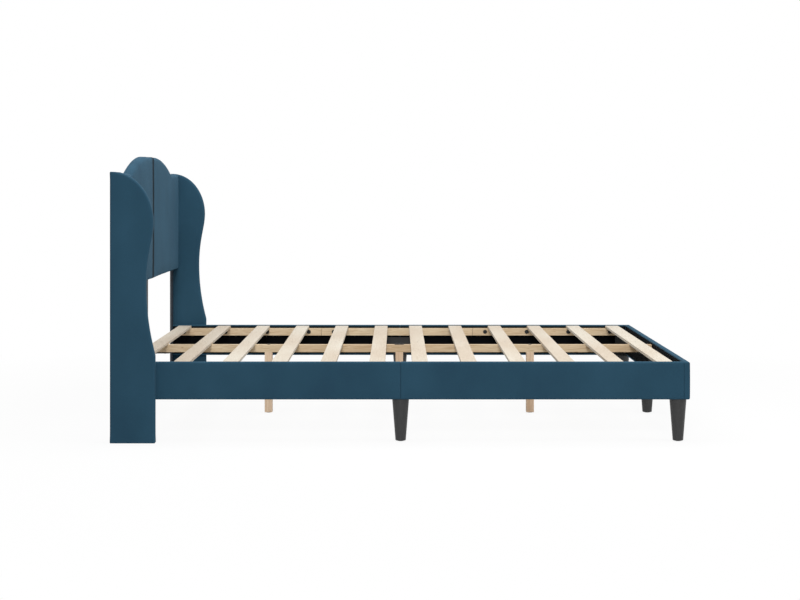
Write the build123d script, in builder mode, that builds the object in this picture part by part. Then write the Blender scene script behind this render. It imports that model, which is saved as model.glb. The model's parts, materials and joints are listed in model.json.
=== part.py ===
from build123d import *
import os

os.makedirs("parts", exist_ok=True)

# Upholstered wingback bed for a 1524 by 2032 mattress. Millimetres, +Z up, +X towards the foot.
# The origin is on the floor, at the middle of the bed's length and width.

# Driving sizes of the whole bed
bed_length = 2108.0
bed_width = 1650.0
bed_height = 1049.0

# Clearances
soft_gap = 0.3
bolt_clearance = 0.2

# Wings: one padded board on each side of the headboard, standing on the floor
wing_thickness = 28.0
wing_height = 984.0
wing_foot_depth = 164.0
wing_waist_depth = 130.8
wing_bulge_depth = 157.4
wing_ramp_height = 318.0
wing_waist_height = 565.0
wing_bulge_height = 800.0
wing_top_flat = 8.0
wing_waist_ease_share = 0.51
wing_bulge_ease_share = 0.255
wing_padding = 6.0
wing_edge_radius = 7.0
wing_corner_radius = 7.5
wing_ramp_radius = 45.0
wing_core_bottom_gap = 2.0

# Headboard: two padded panels between the wings
headboard_bottom = 550.0
headboard_shoulder_height = 983.0
headboard_notch_height = 978.0
headboard_crown_half_width = 560.0
headboard_crest_half_width = 110.0
headboard_notch_radius = 14.0
headboard_back_inset = 4.0
headboard_board_thickness = 15.0
headboard_lining_thickness = 1.0
headboard_lining_margin = 12.0
pad_thickness = 22.5
pad_crown = 2.0
pad_wrap = 5.0
pad_roll_radius = 9.0
pad_corner_radius = 11.0

# Flat legs under the headboard, let into the back of its panels
headboard_leg_width = 38.0
headboard_leg_thickness = 10.0
headboard_leg_lap = 150.0
headboard_leg_bolt_edge = 35.0
centre_leg_bolt_share = 0.28

# Rails: a board wrapped in velvet, with a black lining on its inner face
rail_bottom = 155.0
rail_height = 137.0
rail_thickness = 22.0
rail_padding = 5.0
rail_edge_wall = 3.0
rail_end_wall = 1.5
rail_return_thickness = 1.5
rail_return_height = 6.0
rail_outer_radius = 6.0
rail_inner_radius = 2.5
rail_end_radius = 3.0

# Ledgers: three battens on each side rail, with a fine gap between them
ledger_height = 32.0
ledger_thickness = 24.0
ledger_top_drop = 13.5
ledger_head_gap = 12.0
ledger_foot_gap = 17.0
ledger_middle_length = 690.0
ledger_middle_shift = -10.0
ledger_joint_gap = 1.5
ledger_bolt_count = 4
ledger_bolt_inset = 57.0
ledger_head_bolt_inset = 42.0
ledger_recess_radius = 10.0
ledger_recess_depth = 9.0
ledger_bolt_head_radius = 8.7

# Slats
slat_count = 12
slat_width = 58.0
slat_thickness = 11.0
slat_side_gap = 1.2
slat_head_inset = 57.35
slat_foot_inset = 64.3
slat_middle_pitch = 156.4
slat_edge_radius = 1.0

# Centre rail and its three square legs
centre_rail_width = 30.0
centre_rail_height = 30.0
centre_leg_side = 31.0
centre_leg_pitch = 537.0
centre_leg_edge = 1.5
centre_plate_length = 39.0
centre_plate_width = 22.0
centre_plate_thickness = 2.0
centre_bolt_spacing = 18.0

# Black tapered legs
leg_top_radius = 31.0
leg_bottom_radius = 19.0
leg_bottom_edge = 2.5
leg_inset = 39.0
leg_bolt_depth = 40.0
glide_radius = 10.0
glide_height = 2.0

# Steel angles over the tapered legs
leg_bracket_length = 60.0
leg_bracket_height = 40.0
leg_bracket_depth = 56.0
bracket_thickness = 3.0
leg_bracket_bolt_spacing = 34.0
leg_bracket_bolt_height = 24.0

# Steel angles in the foot corners
corner_bracket_arm = 48.0
corner_bracket_height = 40.0
corner_bracket_lift = 46.0
corner_bracket_bolt_edge = 13.0

# Flat steel plates across the joints
joining_plate_length = 120.0
joining_plate_height = 34.0
joining_plate_thickness = 2.0
joining_plate_bolt_spacing = 92.0
joining_plate_lift = 48.0
headboard_plate_drop = 130.0

# Angles that carry the ends of the centre rail
head_hanger_arm = 92.0
foot_hanger_arm = 62.0
hanger_width = 24.0
hanger_drop = 44.0
hanger_thickness = 6.0
hanger_bolt_edge = 14.0
hanger_bolt_spacing = 19.0
hanger_screw_shares = (0.38, 0.8)

# Bolts and screws
bolt_radius = 3.0
bolt_head_radius = 6.0
bolt_head_height = 3.2
bolt_socket_radius = 2.2
bolt_socket_depth = 1.4
low_bolt_head_height = 1.8
panel_bolt_share = 0.3
plate_bolt_share = 0.7
bolt_grip = 11.0
leg_bolt_radius = 4.0
leg_bolt_head_radius = 7.5
leg_bolt_head_height = 5.0
centre_leg_bolt_grip = 60.0
screw_radius = 1.6
screw_head_radius = 3.6
screw_head_height = 1.6
screw_grip = 16.0
screw_recess_depth = 1.7
wing_screw_radius = 2.0
wing_screw_head_radius = 3.6
wing_screw_grip = 14.0
wing_screw_low = 342.0
wing_screw_high = 498.0
wing_bolt_grip = 14.0
wing_bolt_first = 30.0
wing_bolt_spacing = 60.0
wing_bolt_height = 30.0

# Planes and lines that pieces share, worked out from the sizes above
back_x = -bed_length / 2
foot_x = bed_length / 2
wing_inner_y = bed_width / 2 - wing_thickness
rail_outer_y = wing_inner_y - soft_gap
rail_inner_y = rail_outer_y - rail_thickness
rail_top = rail_bottom + rail_height
foot_inner_x = foot_x - rail_thickness
headboard_back_x = back_x + headboard_back_inset
board_back_x = headboard_back_x + headboard_lining_thickness
board_front_x = board_back_x + headboard_board_thickness
headboard_leg_front_x = headboard_back_x + headboard_leg_thickness
headboard_leg_inner_y = wing_inner_y - headboard_leg_width
headboard_leg_top = headboard_bottom + headboard_leg_lap
ledger_top = rail_top - ledger_top_drop
ledger_bottom = ledger_top - ledger_height
slat_top = ledger_top + slat_thickness
centre_rail_bottom = ledger_top - centre_rail_height
centre_rail_middle_x = (headboard_leg_front_x + foot_inner_x) / 2
ledger_middle_x = centre_rail_middle_x + ledger_middle_shift
ledger_edges = [
    headboard_leg_front_x + ledger_head_gap,
    ledger_middle_x - ledger_middle_length / 2,
    ledger_middle_x + ledger_middle_length / 2,
    foot_inner_x - ledger_foot_gap,
]
ledger_spans = list(zip(ledger_edges[:-1], ledger_edges[1:]))
leg_y = rail_outer_y - leg_inset
leg_foot_x = foot_x - leg_inset

sides = {"left": -1, "right": 1}


def side_face(side, inward=0.0):
    """Inner face of a side rail: local x runs along the rail, local y is up, the normal points inward."""
    return Plane(origin=(0, side * (rail_inner_y - inward), 0), x_dir=(side, 0, 0), z_dir=(0, -side, 0))


def foot_face(inward=0.0):
    """Inner face of the foot rail: local x is -Y, local y is up, the normal points to the head."""
    return Plane(origin=(foot_inner_x - inward, 0, 0), x_dir=(0, -1, 0), z_dir=(-1, 0, 0))


def back_face(x):
    """Plane square to the bed's length, seen from behind: local x is -Y, local y is up."""
    return Plane(origin=(x, 0, 0), x_dir=(0, -1, 0), z_dir=(-1, 0, 0))


def post_face(x):
    """Plane square to the bed's length, seen from the foot: local x is Y, local y is up."""
    return Plane(origin=(x, 0, 0), x_dir=(0, 1, 0), z_dir=(1, 0, 0))


def seats_on(plane, points):
    """Bolt seats: one plane for each point, with the head on its positive side."""
    return [
        Plane(origin=plane.from_local_coords((u, v, 0)), x_dir=plane.x_dir, z_dir=plane.z_dir)
        for u, v in points
    ]


def disc(seats, radius):
    """One round face on each seat."""
    with BuildSketch(*seats) as discs:
        Circle(radius)
    return discs.sketch


def socket(seats, lift):
    """One hexagon for the key on each bolt head."""
    with BuildSketch(*[seat.offset(lift) for seat in seats]) as hexagons:
        RegularPolygon(bolt_socket_radius, side_count=6)
    return hexagons.sketch


def bore(seats, shank_radius, depth):
    """One clearance hole down from each seat, into the part being built."""
    extrude(disc(seats, shank_radius + bolt_clearance), amount=-depth, mode=Mode.SUBTRACT)


def bolts(seats, shank_radius, grip, head_radius=bolt_head_radius, head_height=bolt_head_height):
    """Socket-head bolts, one for each seat."""
    with BuildPart() as bolt_set:
        extrude(disc(seats, head_radius), amount=head_height)
        extrude(disc(seats, shank_radius), amount=-grip)
        extrude(socket(seats, head_height), amount=-bolt_socket_depth, mode=Mode.SUBTRACT)
    return bolt_set.part


# Bolt seats, worked out first because both the bolts and the pieces that they hold use them
ledger_bolt_xs = []
first_insets = (ledger_head_bolt_inset, ledger_bolt_inset, ledger_bolt_inset)
for (start, end), first_inset in zip(ledger_spans, first_insets):
    pitch = (end - start - first_inset - ledger_bolt_inset) / (ledger_bolt_count - 1)
    ledger_bolt_xs += [start + first_inset + pitch * i for i in range(ledger_bolt_count)]
ledger_middle_z = ledger_bottom + ledger_height / 2
ledger_seat_depth = ledger_thickness - ledger_recess_depth

joining_z = rail_bottom + joining_plate_lift + joining_plate_height / 2
joining_half = joining_plate_bolt_spacing / 2
corner_z = rail_bottom + corner_bracket_lift + corner_bracket_height / 2
corner_bolt_x = foot_inner_x - corner_bracket_arm + corner_bracket_bolt_edge
leg_bracket_bolt_z = rail_bottom + leg_bracket_bolt_height
leg_bracket_foot_x = foot_inner_x - leg_bracket_length / 2
wing_bolt_xs = [headboard_leg_front_x + wing_bolt_first + wing_bolt_spacing * i for i in range(2)]
hanger_bolt_zs = [centre_rail_bottom - hanger_bolt_edge - hanger_bolt_spacing * i for i in range(2)]

seats = {}
for side_name, side in sides.items():
    on_ledger = side_face(side, ledger_seat_depth)
    seats["ledger", side_name] = seats_on(on_ledger, [(side * x, ledger_middle_z) for x in ledger_bolt_xs])
    on_plate = side_face(side, joining_plate_thickness)
    seats["joint", side_name] = seats_on(on_plate, [(-joining_half, joining_z), (joining_half, joining_z)])
    on_angle = side_face(side, bracket_thickness)
    bracket_xs = [middle + half for middle in (0, side * leg_bracket_foot_x)
                  for half in (-leg_bracket_bolt_spacing / 2, leg_bracket_bolt_spacing / 2)]
    seats["leg", side_name] = seats_on(on_angle, [(u, leg_bracket_bolt_z) for u in bracket_xs])
    seats["corner", side_name] = seats_on(on_angle, [(side * corner_bolt_x, corner_z)])
    seats["wing", side_name] = seats_on(
        side_face(side), [(side * x, rail_bottom + wing_bolt_height) for x in wing_bolt_xs]
    )

corner_bolt_y = rail_inner_y - corner_bracket_arm + corner_bracket_bolt_edge
seats["foot"] = seats_on(
    foot_face(bracket_thickness),
    [(corner_bolt_y, corner_z), (-corner_bolt_y, corner_z),
     (-leg_bracket_bolt_spacing / 2, leg_bracket_bolt_z), (leg_bracket_bolt_spacing / 2, leg_bracket_bolt_z)],
)
seats["foot_hanger"] = seats_on(foot_face(hanger_thickness), [(0, z) for z in hanger_bolt_zs])
seats["head_hanger"] = seats_on(
    post_face(headboard_leg_front_x + hanger_thickness), [(0, z) for z in hanger_bolt_zs]
)

leg_bolt_z0 = headboard_bottom + headboard_leg_bolt_edge
leg_bolt_z1 = headboard_leg_top - headboard_leg_bolt_edge
side_leg_y = wing_inner_y - headboard_leg_width / 2
centre_leg_bolt_y = headboard_leg_width * centre_leg_bolt_share
headboard_plate_z = bed_height - headboard_plate_drop
seats["headboard_leg"] = seats_on(
    back_face(headboard_back_x),
    [(y, z) for y in (-side_leg_y, -centre_leg_bolt_y, centre_leg_bolt_y, side_leg_y)
     for z in (leg_bolt_z0, leg_bolt_z1)],
)
seats["headboard_plate"] = seats_on(
    back_face(headboard_back_x - joining_plate_thickness),
    [(-joining_half, headboard_plate_z), (joining_half, headboard_plate_z)],
)
leg_middle_x = headboard_back_x + headboard_leg_thickness / 2
seats["wing_screw"] = [
    Plane(origin=(leg_middle_x, side * headboard_leg_inner_y, z), x_dir=(side, 0, 0), z_dir=(0, -side, 0))
    for side in sides.values() for z in (wing_screw_low, wing_screw_high)
]


# Depths below the seats that both the fasteners and their holes use
wing_bolt_reach = rail_thickness + soft_gap + wing_padding + wing_bolt_grip
wing_screw_reach = headboard_leg_width + wing_padding + wing_screw_grip
rail_bolt_reach = bolt_grip + rail_return_thickness
ledger_bolt_reach = ledger_seat_depth + bolt_grip
hanger_bolt_reach = hanger_thickness + headboard_leg_thickness
leg_bolt_reach = headboard_leg_thickness + headboard_board_thickness * panel_bolt_share
plate_bolt_reach = (joining_plate_thickness + headboard_lining_thickness
                    + headboard_board_thickness * plate_bolt_share)


# Wings
def wing_outline(plane, inset, bottom):
    """Side view of a wing, drawn in from its full outline by the inset."""
    back = back_x + inset
    foot = back_x + wing_foot_depth - inset
    waist = back_x + wing_waist_depth - inset
    bulge = back_x + wing_bulge_depth - inset
    top = wing_height - inset
    flat_end = back_x + wing_top_flat
    swell = wing_bulge_height - wing_waist_height
    with BuildSketch(plane) as outline:
        with BuildLine():
            Polyline((flat_end, top), (back, top), (back, bottom), (foot, bottom), (foot, wing_ramp_height))
            TangentArc((foot, wing_ramp_height), (waist, wing_waist_height), tangent=(0, -1),
                       tangent_from_first=False)
            Bezier(
                (waist, wing_waist_height),
                (waist, wing_waist_height + swell * wing_waist_ease_share),
                (bulge, wing_bulge_height - swell * wing_bulge_ease_share),
                (bulge, wing_bulge_height),
            )
            EllipticalCenterArc((flat_end, wing_bulge_height), bulge - flat_end, top - wing_bulge_height,
                                start_angle=0, arc_size=90)
        make_face()
        top_back = outline.vertices().sort_by(Axis.X).group_by(Axis.X)[0].sort_by(Axis.Y)[-1]
        fillet(top_back, wing_corner_radius - inset)
        ramp = [v for v in outline.vertices() if abs(v.Y - wing_ramp_height) < wing_edge_radius]
        fillet(ramp, wing_ramp_radius)
    return outline.sketch


for side_name, side in sides.items():
    inner_plane_shift = wing_inner_y if side < 0 else -bed_width / 2
    core_shift = inner_plane_shift + wing_padding
    wing_core_thickness = wing_thickness - 2 * wing_padding

    with BuildPart() as wing_core:
        extrude(wing_outline(Plane.XZ.offset(core_shift), wing_padding, wing_core_bottom_gap),
                amount=wing_core_thickness)
        bore(seats["wing", side_name], bolt_radius, wing_bolt_reach + bolt_clearance)
        bore(seats["wing_screw"], wing_screw_radius, wing_screw_reach + bolt_clearance)
    wing_core.part.label = f"wing_core_{side_name}"
    export_step(wing_core.part, f"parts/wing_core_{side_name}.step")

    with BuildPart() as wing_cover:
        extrude(wing_outline(Plane.XZ.offset(inner_plane_shift), 0, 0), amount=wing_thickness)
        rims = wing_cover.faces().sort_by(Axis.Y)
        rim_edges = rims[0].edges() + rims[-1].edges()
        fillet(rim_edges.filter_by(lambda edge: edge.center().Z > wing_padding), wing_edge_radius)
        extrude(wing_outline(Plane.XZ.offset(core_shift), wing_padding - soft_gap, 0),
                amount=wing_core_thickness, mode=Mode.SUBTRACT)
        bore(seats["wing", side_name], bolt_radius, wing_bolt_reach + bolt_clearance)
        bore(seats["wing_screw"], wing_screw_radius, wing_screw_reach + bolt_clearance)
    wing_cover.part.label = f"wing_cover_{side_name}"
    export_step(wing_cover.part, f"parts/wing_cover_{side_name}.step")


# Headboard
def headboard_outline(plane, side, inset, corner):
    """Front view of one half of the headboard, drawn in from its full outline by the inset."""
    seam = side * (soft_gap + inset)
    outer = side * (rail_outer_y - inset)
    bottom = headboard_bottom + inset
    top = bed_height - inset
    notch = (side * (headboard_crown_half_width - inset), headboard_notch_height - inset)
    crest = (side * headboard_crest_half_width, top)
    with BuildSketch(plane) as outline:
        with BuildLine():
            Polyline(crest, (seam, top), (seam, bottom), (outer, bottom),
                     (outer, headboard_shoulder_height - inset), notch)
            TangentArc(notch, crest, tangent=(side, 0), tangent_from_first=False)
        make_face()
        square = [v for v in outline.vertices() if abs(v.Y - notch[1]) > soft_gap
                  and abs(abs(v.X) - headboard_crest_half_width) > soft_gap]
        fillet(square, corner)
        inner = [v for v in outline.vertices() if abs(v.Y - notch[1]) < soft_gap
                 and abs(abs(v.X) - abs(notch[0])) < soft_gap]
        fillet(inner, headboard_notch_radius)
    return outline.sketch


def leg_pockets(clearance):
    """Back view of the three headboard legs, with the clearance of their pockets."""
    with BuildSketch(back_face(headboard_back_x)) as pockets:
        width = headboard_leg_width + 2 * clearance
        top = headboard_leg_top + clearance
        for middle in (-side_leg_y, 0, side_leg_y):
            with Locations((middle, top / 2)):
                Rectangle(width, top)
    return pockets.sketch


pad_back_x = board_back_x
pad_front_x = board_front_x + pad_thickness
pad_reach = max(rail_outer_y, bed_height - headboard_bottom) / 2
crown_radius = pad_reach ** 2 / (2 * pad_crown)
headboard_middle_z = (bed_height + headboard_bottom) / 2

for side_name, side in sides.items():
    with BuildPart() as headboard_board:
        extrude(headboard_outline(post_face(board_back_x), side, pad_wrap, pad_corner_radius - pad_wrap),
                amount=headboard_board_thickness)
        extrude(leg_pockets(soft_gap), amount=-headboard_leg_thickness, mode=Mode.SUBTRACT)
        bore(seats["headboard_leg"], bolt_radius, leg_bolt_reach + bolt_clearance)
        bore(seats["headboard_plate"], bolt_radius, plate_bolt_reach + bolt_clearance)
    headboard_board.part.label = f"headboard_board_{side_name}"
    export_step(headboard_board.part, f"parts/headboard_board_{side_name}.step")

    with BuildPart() as headboard_pad:
        extrude(headboard_outline(post_face(pad_back_x), side, 0, pad_corner_radius),
                amount=pad_front_x - pad_back_x)
        with Locations((pad_front_x - crown_radius, side * rail_outer_y / 2, headboard_middle_z)):
            Sphere(crown_radius, mode=Mode.INTERSECT)
        front = headboard_pad.faces().sort_by(Axis.X)[-1]
        fillet(front.edges(), pad_roll_radius)
        extrude(headboard_outline(post_face(board_back_x), side, pad_wrap - soft_gap,
                                  pad_corner_radius - pad_wrap),
                amount=headboard_board_thickness, mode=Mode.SUBTRACT)
        extrude(leg_pockets(soft_gap), amount=-headboard_leg_thickness, mode=Mode.SUBTRACT)
    headboard_pad.part.label = f"headboard_pad_{side_name}"
    export_step(headboard_pad.part, f"parts/headboard_pad_{side_name}.step")

with BuildPart() as headboard_back_lining:
    for side in sides.values():
        extrude(headboard_outline(post_face(headboard_back_x), side, headboard_lining_margin,
                                  pad_corner_radius - pad_wrap), amount=headboard_lining_thickness)
    extrude(leg_pockets(soft_gap), amount=-headboard_leg_thickness, mode=Mode.SUBTRACT)
    bore(seats["headboard_plate"], bolt_radius, plate_bolt_reach)
headboard_back_lining.part.label = "headboard_back_lining"
export_step(headboard_back_lining.part, "parts/headboard_back_lining.step")

leg_places = {"left": -side_leg_y, "centre": 0, "right": side_leg_y}
for place, leg_middle_y in leg_places.items():
    with BuildPart() as headboard_leg:
        with BuildSketch(post_face(headboard_back_x)):
            with Locations((leg_middle_y, headboard_leg_top / 2)):
                Rectangle(headboard_leg_width, headboard_leg_top)
        extrude(amount=headboard_leg_thickness)
        bore(seats["headboard_leg"], bolt_radius, leg_bolt_reach)
        bore(seats["wing_screw"], wing_screw_radius, wing_screw_reach)
        bore(seats["head_hanger"], bolt_radius, hanger_bolt_reach)
    headboard_leg.part.label = f"headboard_leg_{place}"
    export_step(headboard_leg.part, f"parts/headboard_leg_{place}.step")

with BuildPart() as headboard_bolts:
    add(bolts(seats["headboard_leg"], bolt_radius, leg_bolt_reach))
    add(bolts(seats["headboard_plate"], bolt_radius, plate_bolt_reach, head_height=low_bolt_head_height))
    extrude(disc(seats["wing_screw"], wing_screw_head_radius), amount=screw_head_height)
    extrude(disc(seats["wing_screw"], wing_screw_radius), amount=-wing_screw_reach)
headboard_bolts.part.label = "headboard_bolts"
export_step(headboard_bolts.part, "parts/headboard_bolts.step")


# Rails, each drawn in its own frame: local x points outward, local y up and the normal along the rail
def rail_section(plane, from_x, to_x, edge):
    """Rectangle between two distances from the inner face, drawn in from top and bottom by the edge."""
    with BuildSketch(plane) as section:
        with Locations(((from_x + to_x) / 2, rail_height / 2)):
            Rectangle(to_x - from_x, rail_height - 2 * edge)
    return section.sketch


def rail_plane(x, y, outward, along):
    """Plane at one end of a rail, with x pointing out of the bed and the normal along the rail."""
    return Plane(origin=(x, y, rail_bottom), x_dir=outward, z_dir=along)


head_length = -headboard_leg_front_x
foot_length = foot_inner_x
left, right, towards_foot, towards_head = (0, -1, 0), (0, 1, 0), (1, 0, 0), (-1, 0, 0)
rails = {
    "side_rail_{}_left_head": (rail_plane(0, -rail_inner_y, left, towards_head), head_length, "left"),
    "side_rail_{}_left_foot": (rail_plane(foot_inner_x, -rail_inner_y, left, towards_head),
                               foot_length, "left"),
    "side_rail_{}_right_head": (rail_plane(-head_length, rail_inner_y, right, towards_foot),
                                head_length, "right"),
    "side_rail_{}_right_foot": (rail_plane(0, rail_inner_y, right, towards_foot), foot_length, "right"),
    "foot_rail_{}": (rail_plane(foot_inner_x, rail_outer_y, towards_foot, left), 2 * rail_outer_y, "foot"),
}
end_walls = {"left": rail_end_wall, "right": rail_end_wall, "foot": rail_padding}
end_radii = {"left": rail_end_radius, "right": rail_end_radius, "foot": rail_outer_radius}


def bore_rail(where, extra):
    """Every bolt hole of the side rails on one side, or of the foot rail, into the part being built."""
    if where == "foot":
        bore(seats["foot"] + seats["foot_hanger"], bolt_radius, rail_bolt_reach + extra)
        return
    bore(seats["ledger", where], bolt_radius, ledger_bolt_reach + extra)
    bore(seats["joint", where] + seats["leg", where] + seats["corner", where], bolt_radius,
         rail_bolt_reach + extra)
    bore(seats["wing", where], bolt_radius, wing_bolt_reach + extra)


board_outer = rail_thickness - rail_padding
for pattern, (plane, length, where) in rails.items():
    end_wall = end_walls[where]
    board_length = length - 2 * end_wall

    with BuildPart() as rail_board:
        extrude(rail_section(plane.offset(end_wall), rail_return_thickness, board_outer, rail_edge_wall),
                amount=board_length)
        bore_rail(where, bolt_clearance)
    rail_board.part.label = pattern.format("board")
    export_step(rail_board.part, "parts/" + pattern.format("board") + ".step")

    with BuildPart() as rail_cover:
        extrude(rail_section(plane, 0, rail_thickness, 0), amount=length)
        along = rail_cover.edges().filter_by(Axis(plane.origin, plane.z_dir))
        outward = along.sort_by(Axis(plane.origin, plane.x_dir))
        fillet(outward[-2:], rail_outer_radius)
        fillet(outward[:2], rail_inner_radius)
        outer_face = rail_cover.faces().sort_by(Axis(plane.origin, plane.x_dir))[-1]
        fillet(outer_face.edges().filter_by(Axis.Z), end_radii[where])
        extrude(rail_section(plane.offset(end_wall), rail_return_thickness, board_outer, rail_edge_wall),
                amount=board_length, mode=Mode.SUBTRACT)
        extrude(rail_section(plane.offset(end_wall), 0, rail_return_thickness, rail_return_height),
                amount=board_length, mode=Mode.SUBTRACT)
        bore_rail(where, bolt_clearance)
    rail_cover.part.label = pattern.format("cover")
    export_step(rail_cover.part, "parts/" + pattern.format("cover") + ".step")

with BuildPart() as rail_linings:
    for plane, length, where in rails.values():
        extrude(rail_section(plane.offset(end_walls[where]), 0, rail_return_thickness, rail_return_height),
                amount=length - 2 * end_walls[where])
    for where in ("left", "right", "foot"):
        bore_rail(where, bolt_clearance)
rail_linings.part.label = "rail_linings"
export_step(rail_linings.part, "parts/rail_linings.step")

# Ledgers
for side_name, side in sides.items():
    for number, (start, end) in enumerate(ledger_spans, 1):
        with BuildPart() as ledger:
            with BuildSketch(side_face(side)):
                with Locations((side * (start + end) / 2, ledger_middle_z)):
                    Rectangle(end - start - ledger_joint_gap, ledger_height)
            extrude(amount=ledger_thickness)
            last = number * ledger_bolt_count
            own_seats = seats["ledger", side_name][last - ledger_bolt_count:last]
            with Locations(*[seat.offset(ledger_recess_depth) for seat in own_seats]):
                CounterBoreHole(bolt_radius + bolt_clearance, ledger_recess_radius, ledger_recess_depth,
                                ledger_thickness)
        ledger.part.label = f"ledger_{side_name}_{number}"
        export_step(ledger.part, f"parts/ledger_{side_name}_{number}.step")

with BuildPart() as ledger_bolts:
    add(bolts(seats["ledger", "left"] + seats["ledger", "right"], bolt_radius, ledger_bolt_reach,
              ledger_bolt_head_radius))
ledger_bolts.part.label = "ledger_bolts"
export_step(ledger_bolts.part, "parts/ledger_bolts.step")

# Slats, in two equal sets that meet at the middle of the bed
half_count = slat_count // 2
first_slat_x = headboard_leg_front_x + slat_head_inset
last_slat_x = foot_inner_x - slat_foot_inset
slat_pitch = (last_slat_x - first_slat_x - slat_middle_pitch) / (slat_count - 2)
slat_xs = [first_slat_x + slat_pitch * i for i in range(half_count)]
slat_xs += [last_slat_x - slat_pitch * i for i in reversed(range(half_count))]
slat_length = 2 * (rail_inner_y - slat_side_gap)
slat_screw_seats = seats_on(Plane.XY.offset(slat_top - screw_recess_depth), [(x, 0) for x in slat_xs])
slat_screw_reach = slat_thickness - screw_recess_depth + screw_grip
for number, slat_x in enumerate(slat_xs, 1):
    with BuildPart() as slat:
        with BuildSketch(Plane.XY.offset(ledger_top)):
            with Locations((slat_x, 0)):
                Rectangle(slat_width, slat_length)
        extrude(amount=slat_thickness)
        fillet(slat.edges().filter_by(Axis.Y), slat_edge_radius)
        with Locations(slat_screw_seats[number - 1].offset(screw_recess_depth)):
            CounterBoreHole(screw_radius + bolt_clearance, screw_head_radius + bolt_clearance,
                            screw_recess_depth, slat_thickness)
    slat.part.label = f"slat_{number:02d}"
    export_step(slat.part, f"parts/slat_{number:02d}.step")

with BuildPart() as slat_screws:
    extrude(disc(slat_screw_seats, screw_head_radius), amount=screw_head_height)
    extrude(disc(slat_screw_seats, screw_radius), amount=-slat_screw_reach)
slat_screws.part.label = "slat_screws"
export_step(slat_screws.part, "parts/slat_screws.step")

# Centre rail: two halves that butt over the middle leg
centre_leg_xs = [centre_rail_middle_x + centre_leg_pitch * i for i in (-1, 0, 1)]
plate_top = ledger_top + centre_plate_thickness
centre_bolt_half = centre_bolt_spacing / 2
plate_seats = seats_on(Plane.XY.offset(plate_top), [(centre_leg_xs[1] - centre_bolt_half, 0),
                                                    (centre_leg_xs[1] + centre_bolt_half, 0)])
top_seats = seats_on(Plane.XY.offset(ledger_top), [(centre_leg_xs[0], 0), (centre_leg_xs[2], 0)])
under_rail = Plane(origin=(0, 0, centre_rail_bottom - hanger_thickness), x_dir=(1, 0, 0), z_dir=(0, 0, -1))
hangers = ((headboard_leg_front_x, head_hanger_arm), (foot_inner_x, -foot_hanger_arm))
hanger_seats = seats_on(
    under_rail, [(end + arm * share, 0) for end, arm in hangers for share in hanger_screw_shares]
)
hanger_screw_reach = hanger_thickness + centre_rail_height / 2
centre_bolt_reach = centre_rail_height + centre_leg_bolt_grip

halves = {"head": (headboard_leg_front_x, centre_rail_middle_x), "foot": (centre_rail_middle_x, foot_inner_x)}
for half_name, (start, end) in halves.items():
    with BuildPart() as centre_rail:
        with BuildSketch(post_face(start)):
            with Locations((0, ledger_top - centre_rail_height / 2)):
                Rectangle(centre_rail_width, centre_rail_height)
        extrude(amount=end - start)
        bore(plate_seats + top_seats, bolt_radius, centre_bolt_reach)
        bore(slat_screw_seats, screw_radius, slat_screw_reach + bolt_clearance)
        bore(hanger_seats, screw_radius, hanger_screw_reach + bolt_clearance)
    centre_rail.part.label = f"centre_rail_{half_name}"
    export_step(centre_rail.part, f"parts/centre_rail_{half_name}.step")

centre_leg_names = ("head", "middle", "foot")
for leg_name, centre_leg_x in zip(centre_leg_names, centre_leg_xs):
    with BuildPart() as centre_leg:
        with BuildSketch(Plane.XY.offset(glide_height)):
            with Locations((centre_leg_x, 0)):
                Rectangle(centre_leg_side, centre_leg_side)
        extrude(amount=centre_rail_bottom - glide_height)
        fillet(centre_leg.edges().filter_by(Axis.Z), centre_leg_edge)
        bore(plate_seats + top_seats, bolt_radius, centre_bolt_reach + bolt_clearance)
    centre_leg.part.label = f"centre_leg_{leg_name}"
    export_step(centre_leg.part, f"parts/centre_leg_{leg_name}.step")

with BuildPart() as centre_rail_bolts:
    add(bolts(plate_seats + top_seats, bolt_radius, centre_bolt_reach))
    extrude(disc(hanger_seats, screw_head_radius), amount=screw_head_height)
    extrude(disc(hanger_seats, screw_radius), amount=-hanger_screw_reach)
centre_rail_bolts.part.label = "centre_rail_bolts"
export_step(centre_rail_bolts.part, "parts/centre_rail_bolts.step")

# Angles that carry the two ends of the centre rail
with BuildPart() as centre_rail_brackets:
    for end_x, arm in hangers:
        flange_x = end_x + hanger_thickness * arm / abs(arm)
        with BuildSketch(Plane.XZ.offset(-hanger_width / 2)):
            with BuildLine():
                Polyline(
                    (end_x, centre_rail_bottom),
                    (end_x + arm, centre_rail_bottom),
                    (end_x + arm, centre_rail_bottom - hanger_thickness),
                    (flange_x, centre_rail_bottom - hanger_thickness),
                    (flange_x, centre_rail_bottom - hanger_drop),
                    (end_x, centre_rail_bottom - hanger_drop),
                    close=True,
                )
            make_face()
        extrude(amount=hanger_width)
    bore(seats["foot_hanger"] + seats["head_hanger"], bolt_radius, hanger_thickness)
    bore(hanger_seats, screw_radius, hanger_thickness)
centre_rail_brackets.part.label = "centre_rail_brackets"
export_step(centre_rail_brackets.part, "parts/centre_rail_brackets.step")

# Flat plates across the rail joints, the panels' joint and the centre rail's joint
with BuildPart() as joining_plates:
    for side in sides.values():
        with BuildSketch(side_face(side)):
            with Locations((0, joining_z)):
                Rectangle(joining_plate_length, joining_plate_height)
        extrude(amount=joining_plate_thickness)
    with BuildSketch(back_face(headboard_back_x)):
        with Locations((0, headboard_plate_z)):
            Rectangle(joining_plate_length, joining_plate_height)
    extrude(amount=joining_plate_thickness)
    with BuildSketch(Plane.XY.offset(ledger_top)):
        with Locations((centre_leg_xs[1], 0)):
            Rectangle(centre_plate_length, centre_plate_width)
    extrude(amount=centre_plate_thickness)
    bore(seats["joint", "left"] + seats["joint", "right"] + seats["headboard_plate"], bolt_radius,
         joining_plate_thickness)
    bore(plate_seats, bolt_radius, centre_plate_thickness)
joining_plates.part.label = "joining_plates"
export_step(joining_plates.part, "parts/joining_plates.step")

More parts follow.
